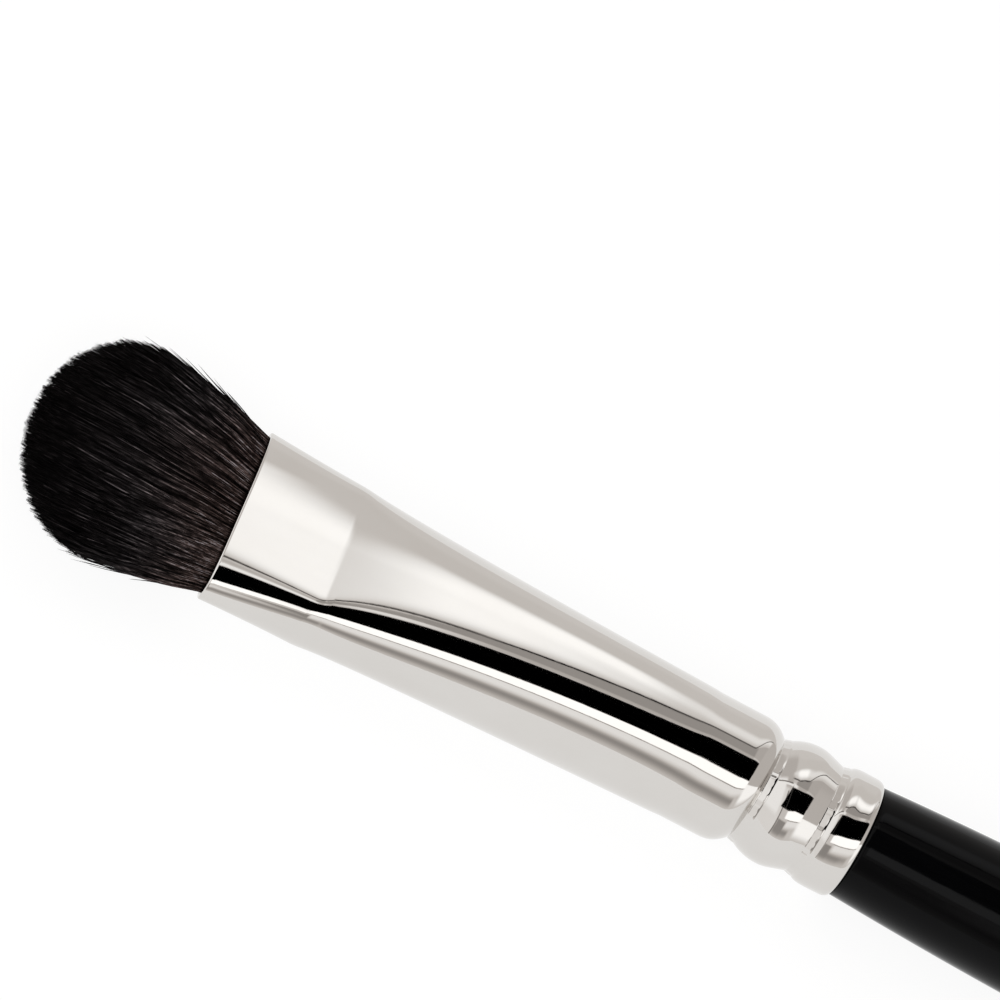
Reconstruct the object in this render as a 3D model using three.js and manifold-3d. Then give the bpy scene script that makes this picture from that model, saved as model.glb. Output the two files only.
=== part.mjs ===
// Flat oval make-up brush: a hair tuft set in resin, a ferrule pressed flat at its mouth, a turned handle.
// Millimetres. +X runs from the hair to the handle's end, +Z is up, and the brush lies on z = 0.
// Inside the file, s is the distance from the ferrule's mouth: hair is at s < 0, the handle at high s.

import * as THREE from 'three';
import { mergeGeometries, mergeVertices } from 'three/addons/utils/BufferGeometryUtils.js';
import Module from 'manifold-3d';

// Ferrule: a thin tube, flat at the mouth, round at the handle, with two rolled grooves
const WALL = 0.35;
const TUBE_DIAMETER = 8.26;
const MOUTH_WIDTH = 12.5;
const MOUTH_THICKNESS = 3.3;
const MOUTH_FLAT = 5.7; // between the rounded sides, at the mouth
const CREASE_WIDTH = 11.3;
const CREASE_THICKNESS = 4.7;
const CREASE_FLAT = 7.1; // between the rounded sides, at the crease
const SIDE_POWER = 3; // fullness of the rounded sides of the flat, 2 is an ellipse
const FLAT_LENGTH = 6.6; // mouth to crease
const TAPER_LENGTH = 24.4; // crease to the round tube
const TUBE_LENGTH = 2.7; // straight round run
const SHOULDER_LENGTH = 1.95; // round run to the first groove
const BEAD_LENGTH = 3.85; // groove to groove
const COLLAR_LENGTH = 2.8; // second groove to the end
const END_ROLL = 0.7; // rounded edge at the handle end
const FIRST_GROOVE_DEPTH = 0.75; // depths are radial, below the tube
const SECOND_GROOVE_DEPTH = 0.62;
const BEAD_DEPTH = 0.17;
const COLLAR_DEPTH = 0.27;
const END_DEPTH = 0.6;
const THICKNESS_EASE = 2.2; // how fast the taper swells and narrows
const WIDTH_EASE = 1.5;
const FLAT_FALL = 6.5; // how fast the flat narrows, 1 is evenly

// Handle: turned wood with a tenon in the ferrule
const HANDLE_LENGTH = 121.8; // what shows past the ferrule
const BELLY_FROM_FERRULE = 19;
const BELLY_DIAMETER = TUBE_DIAMETER; // equal, so the brush lies level
const TAIL_DIAMETER = 4.4;
const TAIL_CAP_LENGTH = 3;
const TAIL_EASE = 1.6; // 1 is a straight cone from belly to tail
const TENON_LENGTH = 14.3;
const TENON_CHAMFER = 0.6;
const GLUE_THICKNESS = 1.2;
const GLUE_DISH = 0.6;

// Hair: rows of strands in four layers, spread wider and thicker past the mouth
const HAIR_LENGTH = 13.9; // what shows past the mouth
const HAIR_WIDTH = 14.9;
const HAIR_THICKNESS = 4.4;
const HAIR_WIDEST = 8; // from the mouth
const HAIR_SPREAD_EASE = 1.8;
const TIP_ROUNDING = 0.45; // how much shorter the outer layers are
const TIP_UNEVENNESS = 0.5; // the most that one strand falls short
const STRAND_PITCH = 0.2;
const STRAND_RADIUS = 0.065; // at the root
const STRAND_BEND_RADIUS = 0.11; // where the tuft is wide
const STRAND_BEND_AT = 0.55; // share of a strand's free length
const STRAND_SET = 0.3; // depth of a strand in its root layer
const STRAND_MARGIN = 0.2; // edge of the root layer to the outermost strand's middle
const STRAND_SIDES = 3;
const ROWS_PER_LAYER = 2;
const LAYER_NAMES = ['hair_bottom_layer', 'hair_lower_core', 'hair_upper_core', 'hair_top_layer'];
const ROOT_SET_BACK = 0.1; // mouth to the face of the set roots
const LAYER_GAP = 0.1;

// Root binding and resin, inside the ferrule
const THREAD_DIAMETER = 0.5;
const THREAD_PITCH = 0.95;
const THREAD_TURNS = 5;
const THREAD_STEPS = 24; // in one turn
const THREAD_SIDES = 6;
const WAIST_RUN_IN = 2.2; // crease to the bound waist
const RESIN_LENGTH = 5;
const RESIN_DISH = 0.8; // meniscus left where the resin was poured

// Clearances
const HAIR_CLEARANCE = 0.15; // ferrule wall to hair and resin
const THREAD_CLEARANCE = 0.1; // thread to the hair that it binds
const TENON_CLEARANCE = 0.12; // ferrule wall to tenon and glue
const SEAT_GAP = 0.1; // between faces that seat end to end

// Facets
const SIDES = 32; // a multiple of four, so that a facet faces up, down and sideways
const TAPER_STEPS = 10;
const SHOULDER_STEPS = 5;
const BEAD_STEPS = 8;
const COLLAR_STEPS = 5;
const ROLL_STEPS = 3;
const SWELL_STEPS = 6;
const TAIL_STEPS = 10;
const CAP_STEPS = 5;
const RESIN_STEPS = 3;
const DISH_STEPS = 2;

const GOLDEN_SHARE = (Math.sqrt(5) - 1) / 2;
const ELLIPSE_POWER = 2;
const HALF_FACET = Math.PI / SIDES;
const FLAT_TO_CORNER = 1 / Math.cos(HALF_FACET); // facets touch the true surface from outside

// Places along the brush
const taperEnd = FLAT_LENGTH + TAPER_LENGTH;
const shoulderStart = taperEnd + TUBE_LENGTH;
const firstGroove = shoulderStart + SHOULDER_LENGTH;
const secondGroove = firstGroove + BEAD_LENGTH;
const ferruleLength = secondGroove + COLLAR_LENGTH;
const collarCrest = ferruleLength - END_ROLL;
const beadCrest = (firstGroove + secondGroove) / 2;
const waistStart = FLAT_LENGTH + WAIST_RUN_IN;
const waistEnd = waistStart + THREAD_TURNS * THREAD_PITCH + 2 * THREAD_DIAMETER;
const resinStart = waistEnd + SEAT_GAP;
const resinEnd = resinStart + RESIN_LENGTH;
const tenonFront = ferruleLength - TENON_LENGTH;
const glueEnd = tenonFront - SEAT_GAP;
const glueStart = glueEnd - GLUE_THICKNESS;
const neckStart = ferruleLength + SEAT_GAP;
const handleEnd = ferruleLength + HANDLE_LENGTH;

const tubeRadius = TUBE_DIAMETER / 2;
const { lerp } = THREE.MathUtils;

const wasm = await Module();
wasm.setup();

// Evenly spaced places after `from`, up to and including `to`
function places(from, to, steps) {
  return Array.from({ length: steps }, (_, i) => lerp(from, to, (i + 1) / steps));
}

// Repeatable number from 0 to 1, well scattered from one index to the next
function scatter(index) {
  const turn = index * GOLDEN_SHARE;
  return turn - Math.floor(turn);
}

// Closed surface through rings of points that run along +X, anticlockwise seen from +X
function loft(rings, { loop = false, startPoint, endPoint } = {}) {
  const sides = rings[0].length;
  const points = rings.flat();
  const faces = [];
  const joins = loop ? rings.length : rings.length - 1;
  for (let i = 0; i < joins; i++) {
    const near = i * sides;
    const far = ((i + 1) % rings.length) * sides;
    for (let j = 0; j < sides; j++) {
      const k = (j + 1) % sides;
      faces.push(near + j, near + k, far + k);
      faces.push(near + j, far + k, far + j);
    }
  }
  if (!loop) {
    const centre = (ring) => ring.reduce((sum, p) => sum.add(p), new THREE.Vector3()).divideScalar(sides);
    const first = points.push(startPoint ?? centre(rings[0])) - 1;
    const last = points.push(endPoint ?? centre(rings.at(-1))) - 1;
    const lastRing = (rings.length - 1) * sides;
    for (let j = 0; j < sides; j++) {
      const k = (j + 1) % sides;
      faces.push(first, k, j);
      faces.push(last, lastRing + j, lastRing + k);
    }
  }
  const geometry = new THREE.BufferGeometry().setFromPoints(points);
  geometry.setIndex(faces);
  geometry.computeVertexNormals();
  return geometry;
}

// Section of the ferrule: plane top and bottom faces joined by rounded sides
function sectionRing(s, { halfWidth, halfThickness, halfFlat, sidePower }) {
  return Array.from({ length: SIDES }, (_, i) => {
    const angle = (2 * i + 1) * HALF_FACET;
    const across = Math.cos(angle) * FLAT_TO_CORNER;
    const up = Math.sin(angle) * FLAT_TO_CORNER;
    const round = Math.abs(across) ** (ELLIPSE_POWER / sidePower);
    const y = Math.sign(across) * lerp(halfFlat, halfWidth, round);
    return new THREE.Vector3(s, y, halfThickness * up);
  });
}

function shrink({ halfWidth, halfThickness, ...rest }, by) {
  return { halfWidth: halfWidth - by, halfThickness: halfThickness - by, ...rest };
}

// Outer radius of the round end: shoulder, bead and collar are bows between the rolled grooves
function crimpRadius(s) {
  const bow = (crest, groove, crestDepth, grooveDepth) => {
    const share = (s - crest) / (groove - crest);
    return tubeRadius - lerp(crestDepth, grooveDepth, share * share);
  };
  if (s <= shoulderStart) return tubeRadius;
  if (s <= firstGroove) return bow(shoulderStart, firstGroove, 0, FIRST_GROOVE_DEPTH);
  if (s <= beadCrest) return bow(beadCrest, firstGroove, BEAD_DEPTH, FIRST_GROOVE_DEPTH);
  if (s <= secondGroove) return bow(beadCrest, secondGroove, BEAD_DEPTH, SECOND_GROOVE_DEPTH);
  if (s <= collarCrest) return bow(collarCrest, secondGroove, COLLAR_DEPTH, SECOND_GROOVE_DEPTH);
  return bow(collarCrest, ferruleLength, COLLAR_DEPTH, END_DEPTH);
}

// Outer section of the ferrule at s
function ferruleSection(s) {
  if (s <= FLAT_LENGTH) {
    const share = s / FLAT_LENGTH;
    return {
      halfWidth: lerp(MOUTH_WIDTH, CREASE_WIDTH, share) / 2,
      halfThickness: lerp(MOUTH_THICKNESS, CREASE_THICKNESS, share) / 2,
      halfFlat: lerp(MOUTH_FLAT, CREASE_FLAT, share) / 2,
      sidePower: SIDE_POWER,
    };
  }
  if (s < taperEnd) {
    const left = (taperEnd - s) / TAPER_LENGTH;
    return {
      halfWidth: lerp(tubeRadius, CREASE_WIDTH / 2, left ** WIDTH_EASE),
      halfThickness: lerp(tubeRadius, CREASE_THICKNESS / 2, left ** THICKNESS_EASE),
      halfFlat: ((CREASE_FLAT / 2) * left) / lerp(FLAT_FALL, 1, left),
      sidePower: lerp(ELLIPSE_POWER, SIDE_POWER, Math.sqrt(left)),
    };
  }
  const radius = crimpRadius(s);
  return { halfWidth: radius, halfThickness: radius, halfFlat: 0, sidePower: ELLIPSE_POWER };
}

const ferrulePlaces = [
  0,
  FLAT_LENGTH,
  ...places(FLAT_LENGTH, taperEnd, TAPER_STEPS),
  shoulderStart,
  ...places(shoulderStart, firstGroove, SHOULDER_STEPS),
  ...places(firstGroove, secondGroove, BEAD_STEPS),
  ...places(secondGroove, collarCrest, COLLAR_STEPS),
  ...places(collarCrest, ferruleLength, ROLL_STEPS),
];

function ferruleGeometry() {
  const outer = ferrulePlaces.map((s) => sectionRing(s, ferruleSection(s)));
  const inner = ferrulePlaces.map((s) => sectionRing(s, shrink(ferruleSection(s), WALL)));
  return loft([...outer, ...inner.reverse()], { loop: true });
}

// Radius of a round piece that fills the ferrule at s
function tenonRadius(s) {
  return ferruleSection(s).halfThickness - WALL - TENON_CLEARANCE;
}

// Turned solid from a profile of [s, radius] points that starts and ends on the axis
function turned(profile) {
  const points = profile.map(([s, radius]) => new THREE.Vector2(radius * FLAT_TO_CORNER, s));
  return new THREE.LatheGeometry(points, SIDES, HALF_FACET).rotateZ(-Math.PI / 2);
}

function handleGeometry() {
  const neck = tubeRadius - END_DEPTH;
  const belly = BELLY_DIAMETER / 2;
  const tail = TAIL_DIAMETER / 2;
  const bellyPlace = ferruleLength + BELLY_FROM_FERRULE;
  const capStart = handleEnd - TAIL_CAP_LENGTH;
  const chamferEnd = tenonFront + TENON_CHAMFER;
  const grip = ferrulePlaces.filter((s) => s > chamferEnd);
  const swell = places(neckStart, bellyPlace, SWELL_STEPS).map((s) => {
    const left = (bellyPlace - s) / (bellyPlace - neckStart);
    return [s, lerp(belly, neck, left * left)];
  });
  const taper = places(bellyPlace, capStart, TAIL_STEPS).map((s) => {
    const share = (s - bellyPlace) / (capStart - bellyPlace);
    return [s, lerp(belly, tail, share ** TAIL_EASE)];
  });
  const cap = places(0, Math.PI / 2, CAP_STEPS).map((angle) => [
    capStart + TAIL_CAP_LENGTH * Math.sin(angle),
    angle < Math.PI / 2 ? tail * Math.cos(angle) : 0,
  ]);
  return turned([
    [tenonFront, 0],
    [tenonFront, tenonRadius(chamferEnd) - TENON_CHAMFER],
    [chamferEnd, tenonRadius(chamferEnd)],
    ...grip.map((s) => [s, tenonRadius(s)]),
    [neckStart, tenonRadius(ferruleLength)],
    [neckStart, neck],
    ...swell,
    ...taper,
    ...cap,
  ]);
}

function handleGlueGeometry() {
  const radius = Math.min(tenonRadius(glueStart), tenonRadius(glueEnd));
  const dish = places(0, 1, DISH_STEPS).map((share) => {
    return [glueStart + GLUE_DISH * (1 - share * share), radius * share];
  });
  return turned([[glueStart + GLUE_DISH, 0], ...dish, [glueEnd, radius], [glueEnd, 0]]);
}

// Space that hair and resin fill inside the ferrule at s
function insideSection(s) {
  return shrink(ferruleSection(s), WALL + HAIR_CLEARANCE);
}

// Oval waist of the bound roots: the thread fills the rest of the ferrule round it
const waistInset = THREAD_CLEARANCE + THREAD_DIAMETER;
const waist = {
  halfWidth: insideSection(waistEnd).halfWidth - waistInset,
  halfThickness: insideSection(waistStart).halfThickness - waistInset,
  halfFlat: 0,
  sidePower: ELLIPSE_POWER,
};

function rootBlockGeometry() {
  const rings = [ROOT_SET_BACK, FLAT_LENGTH].map((s) => sectionRing(s, insideSection(s)));
  rings.push(sectionRing(waistStart, waist), sectionRing(waistEnd, waist));
  return loft(rings);
}

function toSolid(geometry) {
  const bare = geometry.clone();
  bare.deleteAttribute('normal');
  bare.deleteAttribute('uv');
  const merged = mergeVertices(bare);
  const vertProperties = new Float32Array(merged.attributes.position.array);
  const triVerts = new Uint32Array(merged.index.array);
  return new wasm.Manifold(new wasm.Mesh({ numProp: 3, vertProperties, triVerts }));
}

function toGeometry(solid) {
  const { vertProperties, triVerts } = solid.getMesh();
  const geometry = new THREE.BufferGeometry();
  geometry.setAttribute('position', new THREE.BufferAttribute(vertProperties, 3));
  geometry.setIndex(new THREE.BufferAttribute(triVerts, 1));
  geometry.computeVertexNormals();
  return geometry;
}

// Hair leaves the roots on lines that spread alike, so that no two strands cross
const root = insideSection(ROOT_SET_BACK);
const layerStep = (2 * root.halfThickness) / LAYER_NAMES.length;
const rowStep = layerStep / ROWS_PER_LAYER;
const outermost = { y: root.halfWidth - STRAND_MARGIN, z: root.halfThickness - rowStep / 2 };

function spread(s) {
  const out = THREE.MathUtils.clamp(-s / HAIR_WIDEST, 0, 1);
  const share = 1 - (1 - out) ** HAIR_SPREAD_EASE;
  return {
    across: lerp(1, HAIR_WIDTH / 2 / outermost.y, share),
    up: lerp(1, HAIR_THICKNESS / 2 / outermost.z, share),
  };
}

function strandGeometry(y, z, index) {
  const sideways = y / outermost.y;
  const upward = z / outermost.z;
  const dome = Math.sqrt(Math.max(0, 1 - sideways ** 2 - TIP_ROUNDING * upward ** 2));
  const reach = lerp(HAIR_WIDEST, HAIR_LENGTH, dome) - TIP_UNEVENNESS * scatter(2 * index);
  const at = (s) => {
    const { across, up } = spread(s);
    return new THREE.Vector3(s, y * across, z * up);
  };
  const ring = (centre, radius) =>
    Array.from({ length: STRAND_SIDES }, (_, i) => {
      const angle = (2 * Math.PI * (i + scatter(2 * index + 1))) / STRAND_SIDES;
      const offset = new THREE.Vector3(0, radius * Math.cos(angle), radius * Math.sin(angle));
      return offset.add(centre);
    });
  const bend = ring(at(-reach * STRAND_BEND_AT), STRAND_BEND_RADIUS);
  const foot = ring(at(ROOT_SET_BACK + STRAND_SET), STRAND_RADIUS);
  return loft([bend, foot], { startPoint: at(-reach) });
}

// One layer: a slice of the set roots with its rows of strands
function hairLayerGeometry(layer, rootBlock) {
  const low = -root.halfThickness + layer * layerStep;
  const isBottom = layer === 0;
  const isTop = layer === LAYER_NAMES.length - 1;
  const floor = isBottom ? -tubeRadius : low + LAYER_GAP / 2;
  const ceiling = isTop ? tubeRadius : low + layerStep - LAYER_GAP / 2;
  const slice = new THREE.BoxGeometry(2 * ferruleLength, 2 * MOUTH_WIDTH, ceiling - floor);
  slice.translate(0, 0, (floor + ceiling) / 2);
  const strands = [];
  for (let row = 0; row < ROWS_PER_LAYER; row++) {
    const z = low + rowStep * (row + 0.5);
    const round = (1 - (z / root.halfThickness) ** 2) ** (1 / root.sidePower);
    const reach = lerp(root.halfFlat, root.halfWidth, round) - STRAND_MARGIN;
    const gaps = Math.floor((2 * reach) / STRAND_PITCH);
    for (let i = 0; i <= gaps; i++) {
      const y = lerp(-reach, reach, i / gaps);
      strands.push(strandGeometry(y, z, strands.length + layer * gaps));
    }
  }
  const backing = rootBlock.intersect(toSolid(slice));
  return { geometry: toGeometry(backing.add(toSolid(mergeGeometries(strands)))), count: strands.length };
}

// Thread wound in one run round the waist, and the least gap between its turns
function rootBinding() {
  const radius = THREAD_DIAMETER / 2;
  const away = THREAD_CLEARANCE + radius;
  const at = (turn) => {
    const angle = 2 * Math.PI * turn;
    const y = (waist.halfWidth + away) * Math.cos(angle);
    const z = (waist.halfThickness + away) * Math.sin(angle);
    return new THREE.Vector3(waistStart + THREAD_DIAMETER + turn * THREAD_PITCH, y, z);
  };
  const count = THREAD_TURNS * THREAD_STEPS;
  const small = 1e-3;
  const centres = [];
  const rings = [];
  for (let i = 0; i <= count; i++) {
    const turn = i / THREAD_STEPS;
    const centre = at(turn);
    const along = at(turn + small).sub(at(turn - small)).normalize();
    const side = new THREE.Vector3(1, 0, 0).addScaledVector(along, -along.x).normalize();
    const up = new THREE.Vector3().crossVectors(along, side);
    centres.push(centre);
    rings.push(
      Array.from({ length: THREAD_SIDES }, (_, k) => {
        const angle = (2 * Math.PI * k) / THREAD_SIDES;
        const point = centre.clone().addScaledVector(side, radius * Math.cos(angle));
        return point.addScaledVector(up, radius * Math.sin(angle));
      }),
    );
  }
  let leastGap = Infinity;
  for (let i = 0; i <= count; i++) {
    for (let j = i + THREAD_STEPS / 2; j <= count; j++) {
      leastGap = Math.min(leastGap, centres[i].distanceTo(centres[j]) - THREAD_DIAMETER);
    }
  }
  return { geometry: loft(rings), leastGap };
}

// Resin poured behind the roots, flat against them and dished at the other end
function rootResinGeometry() {
  const walls = [resinStart, ...places(resinStart, resinEnd, RESIN_STEPS)];
  const rings = walls.map((s) => sectionRing(s, insideSection(s)));
  const rim = rings.at(-1);
  const dishDepth = (share) => RESIN_DISH * (1 - share * share);
  places(1, 0, DISH_STEPS).slice(0, -1).forEach((share) => {
    const inward = new THREE.Vector3(1, share, share);
    rings.push(rim.map((point) => point.clone().multiply(inward).setX(resinEnd - dishDepth(share))));
  });
  return loft(rings, { endPoint: new THREE.Vector3(resinEnd - RESIN_DISH, 0, 0) });
}

const materials = {
  nickel: new THREE.MeshStandardMaterial({ color: 0xcfc8bf, roughness: 0.12, metalness: 1 }),
  lacquer: new THREE.MeshStandardMaterial({ color: 0x070708, roughness: 0.12 }),
  hair: new THREE.MeshStandardMaterial({ color: 0x1c1513, roughness: 0.6 }),
  thread: new THREE.MeshStandardMaterial({ color: 0xd9d0bd, roughness: 0.9 }),
  resin: new THREE.MeshStandardMaterial({ color: 0xa4793c, roughness: 0.3 }),
  glue: new THREE.MeshStandardMaterial({ color: 0xe6dfc9, roughness: 0.5 }),
};

const brush = new THREE.Group();
brush.position.set((HAIR_LENGTH - handleEnd) / 2, 0, tubeRadius);

function add(name, geometry, material) {
  const mesh = new THREE.Mesh(geometry, material);
  mesh.name = name;
  brush.add(mesh);
}

add('ferrule', ferruleGeometry(), materials.nickel);
add('handle', handleGeometry(), materials.lacquer);
add('handle_glue', handleGlueGeometry(), materials.glue);
add('root_resin', rootResinGeometry(), materials.resin);

const binding = rootBinding();
add('root_binding', binding.geometry, materials.thread);
console.log(`root_binding: least gap between turns ${binding.leastGap.toFixed(3)} mm`);

const rootBlock = toSolid(rootBlockGeometry());
let strandCount = 0;
LAYER_NAMES.forEach((name, layer) => {
  const { geometry, count } = hairLayerGeometry(layer, rootBlock);
  strandCount += count;
  add(name, geometry, materials.hair);
});
console.log(`hair: ${strandCount} strands`);

export default brush;
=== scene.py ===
# Looks of the flat oval makeup brush: smooth metal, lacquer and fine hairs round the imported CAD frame.
# Metres, in the CAD's own frame: +X runs from the hair to the handle's end, and the brush lies on z = 0.
# Along the brush, s is the distance from the ferrule's mouth: hair is at s < 0, the handle at high s.

import math
from collections import namedtuple

import bpy
import numpy as np
from mathutils import Matrix, Vector

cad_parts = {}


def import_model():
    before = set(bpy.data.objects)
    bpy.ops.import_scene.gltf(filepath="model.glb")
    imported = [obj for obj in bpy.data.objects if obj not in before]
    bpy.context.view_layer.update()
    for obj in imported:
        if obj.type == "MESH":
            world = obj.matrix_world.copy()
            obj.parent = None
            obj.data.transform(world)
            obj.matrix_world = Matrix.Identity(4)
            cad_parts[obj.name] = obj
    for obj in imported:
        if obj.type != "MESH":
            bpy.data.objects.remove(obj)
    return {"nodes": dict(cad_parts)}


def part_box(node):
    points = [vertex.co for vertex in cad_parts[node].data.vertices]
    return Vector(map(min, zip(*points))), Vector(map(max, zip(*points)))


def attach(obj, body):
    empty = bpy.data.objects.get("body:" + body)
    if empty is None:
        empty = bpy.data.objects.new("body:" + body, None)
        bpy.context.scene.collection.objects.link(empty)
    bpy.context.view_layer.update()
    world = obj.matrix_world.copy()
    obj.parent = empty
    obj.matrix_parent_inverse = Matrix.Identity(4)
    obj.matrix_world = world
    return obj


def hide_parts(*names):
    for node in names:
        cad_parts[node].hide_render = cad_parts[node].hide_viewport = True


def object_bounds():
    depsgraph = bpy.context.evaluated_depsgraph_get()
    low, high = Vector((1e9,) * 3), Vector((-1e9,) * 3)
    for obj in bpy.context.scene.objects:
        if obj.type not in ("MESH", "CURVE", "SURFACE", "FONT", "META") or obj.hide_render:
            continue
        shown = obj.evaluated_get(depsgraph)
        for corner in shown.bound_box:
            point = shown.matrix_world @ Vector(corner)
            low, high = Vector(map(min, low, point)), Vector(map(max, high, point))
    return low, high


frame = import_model()
cad_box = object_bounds()

MM = 0.001

# Places and sizes that the frame gives
HAIR_NODES = ["hair_bottom_layer", "hair_lower_core", "hair_upper_core", "hair_top_layer"]
hair_boxes = [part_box(node) for node in HAIR_NODES]
ferrule_low, ferrule_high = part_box("ferrule")
handle_low, handle_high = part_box("handle")
MOUTH_X = ferrule_low.x
AXIS_Z = (ferrule_low.z + ferrule_high.z) / 2
TUBE_RADIUS = (ferrule_high.z - ferrule_low.z) / 2
MOUTH_HALF_WIDTH = ferrule_high.y
FERRULE_LENGTH = ferrule_high.x - MOUTH_X
TENON_FRONT = handle_low.x - MOUTH_X
HANDLE_END = handle_high.x - MOUTH_X
HAIR_ROOT_END = max(high.x for low, high in hair_boxes) - MOUTH_X
HAIR_LENGTH = MOUTH_X - cad_box[0][0]
HAIR_HALF_WIDTH = max(high.y for low, high in hair_boxes)

# Ferrule: half sizes of its outside, as in the CAD
WALL = 0.35 * MM
MOUTH_HALF_THICKNESS = 1.65 * MM
MOUTH_HALF_FLAT = 2.85 * MM
CREASE_HALF_WIDTH = 5.65 * MM
CREASE_HALF_THICKNESS = 2.35 * MM
CREASE_HALF_FLAT = 3.55 * MM
SIDE_POWER = 3 # fullness of the rounded sides, 2 is an ellipse
CREASE_PLACE = 6.6 * MM
TAPER_END = 31 * MM
THICKNESS_EASE = 2.2
WIDTH_EASE = 1.5
FLAT_FALL = 6.5

# Ferrule: what only the smooth surface has
CREASE_SLANT = 0.03 # the crease's near end lies further from the mouth
CREASE_ROUNDING = 0.08 * MM
SIDE_ROUNDING = 2.4 * MM # the sides bend softly where the flat has its crease
CREASE_SIDE_START = 0.55 # share of the half thickness where the crease begins to show
CREASE_SIDE_END = 0.85
FLAT_ROUNDING = 0.4 * MM
FAR_CROWN = 0.33 # the far half of the flat is a little domed
EDGE_RADIUS = 0.13 * MM # at the mouth and at the handle's end
EDGE_STEPS = 5
EDGE_RUN = 0.2 * MM # closely spaced rings keep the edge crisp
CREASE_RUN = 0.6 * MM # and the crease, on both sides of it
GROOVE_LEAD = 0.3 * MM # and the shoulder and the grooves, from this far before them
GROOVE_TRAIL = 0.4 * MM # to this far past a groove
INNER_STRIDE = 5 # the inner skin has one ring for this many on the outside
SKIN_POINTS = 260 # round the ferrule
SECTION_POINTS = 2048 # before they are spaced evenly
ROUNDING_STEPS = 9

# Crimped end: depths are radial, below the tube
SHOULDER_START = 33.8 * MM
SHOULDER_POWER = 2.4
FIRST_FLOOR = (35.45 * MM, 35.88 * MM)
FIRST_FLOOR_DEPTHS = (0.73 * MM, 0.6 * MM)
SECOND_FLOOR = (39.4 * MM, 39.86 * MM)
SECOND_FLOOR_DEPTHS = (0.58 * MM, 0.46 * MM)
LEDGE = 0.08 * MM # narrow level edge between a groove's floor and what rises from it
BEAD_CREST = 37.7 * MM
BEAD_DEPTH = 0.15 * MM
BEAD_FRONT_POWER = 2.2
BEAD_BACK_SLOPE = 0.31
BEAD_BACK_BEND = 0.75 * MM
OVAL = 0.035 # rolling left the bead and the collar a little out of round
OVAL_TURN = math.radians(123)
COLLAR_CREST = 41.55 * MM
COLLAR_DEPTH = 0.25 * MM
COLLAR_POWER = 6
END_POWER = 4
END_DEPTH = 0.5 * MM
GROOVE_ROUNDING = 0.03 * MM
CRIMP_SLANT = 0.05 # the grooves were rolled a little askew
NOTCH_DEPTH = 0.006 * MM
NOTCH_WAVES = [(23, 5, 3), (37, 3, 2)] # marks round the ferrule, waves in their spacing, strength of those

# Handle
NECK_RADIUS = 3.58 * MM
BELLY_PLACE = FERRULE_LENGTH + 19 * MM
TAIL_RADIUS = 2.2 * MM
TAIL_CAP_LENGTH = 3 * MM
TAIL_EASE = 1.6
TENON_RADIUS = 2.9 * MM
TENON_CHAMFER = 0.6 * MM
SEAT_GAP = 0.03 * MM
NECK_ROUNDING = 0.03 * MM
HANDLE_SIDES = 160
TENON_STEPS = 8 # along the handle
SWELL_STEPS = 50
TAPER_STEPS = 110
TAIL_CAP_STEPS = 28

# Hair
HAIR_HALF_THICKNESS = 2.2 * MM
HAIR_WIDEST = 8.4 * MM # from the mouth
HAIR_SPREAD_EASE = 1.3
HAIR_CLEARANCE = 0.08 * MM # ferrule wall to a hair's middle
LIP_SWELL = 0.15 * MM # the tuft fills out past the mouth
LIP_SWELL_RUN = 2.5 * MM
MOUTH_INSIDE = (MOUTH_HALF_WIDTH - WALL - HAIR_CLEARANCE, MOUTH_HALF_THICKNESS - WALL - HAIR_CLEARANCE)
CREASE_INSIDE = (CREASE_HALF_WIDTH - WALL - HAIR_CLEARANCE, CREASE_HALF_THICKNESS - WALL - HAIR_CLEARANCE)
WAIST_START = 9 * MM # where the binding holds the roots
WAIST_HALF_WIDTH = 3.8 * MM
WAIST_HALF_THICKNESS = 1.5 * MM
TIP_EXTRA = 0.03 * MM # fine tips reach past the coarse ones
TIP_ROUNDING = 0.45 # how much shorter the outer hairs are
TIP_OFFSET = 0.045 # share of the half width by which the dome leans to +Y
TIP_UNEVENNESS = 0.55 * MM
FAR_FLARE = 0.4 * MM # hairs at the +Y edge stand out
FAR_FLARE_POWER = 4
STRANDS_PER_LAYER = 3400
ROOT_TRIES = 4 # draws for each root, of which enough fall inside the mouth
STRAND_RADIUS = 0.042 * MM
STRAND_RADIUS_RANGE = (0.7, 1.3) # from hair to hair
STRAND_ROOT = 0.85 # share of the radius
STRAND_BELLY = 0.25 # what the middle has more
STRAND_TIP = 0.02 # share of the section that is left at the tip
STRAND_STEPS = 12
STRAND_STEP_EASE = 1.6 # steps are closer together near the root
STRAND_SIDES = 3
CLUMPS_ACROSS = 60
CLUMPS_THROUGH = 14
CLUMP_PULL = 0.7
CLUMP_EASE = 1.6
STRAND_WAVE = 0.09 * MM
STRAND_WAVE_TURN = 4 # radians from root to tip
FLYAWAYS_PER_LAYER = 40
FLYAWAY_REACH = 0.55 * MM # most that one stands out
FLYAWAY_REACHES = (0.3, 1) # range, as a share of that
FLYAWAY_ROOTS = (0.9, 1) # range, as a share of the half width
FLYAWAY_LENGTHS = (0.4, 1) # range, as a share of the length of its neighbours
SHADE = 0.021 # middle brightness at the root
SHADE_MOST = 0.18
SHADE_FALL = 1.8 # how much darker the tip is, as a power of e
SHADE_SPREAD_ROOT = 1.5 # how much hairs differ, as a power of e
SHADE_SPREAD_TIP = 1.1
SHADE_OWN = 0.75 # how much of that is from hair to hair
SHADE_DRIFT = 0.65 # and how much along each hair: partly uneven tone, partly painted highlight streaks
SHADE_PACES = (2, 5) # range of waves along a hair
NEAR_SIDE_PAINTED_LIGHT = 1.1 # painted light: how much lighter the roots at the -Y edge are
MOUTH_SHADE = 0.12 # hair in the shadow of the mouth
MOUTH_SHADE_RUN = 0.025 # as a share of the hair's length
SEED = 11

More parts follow.
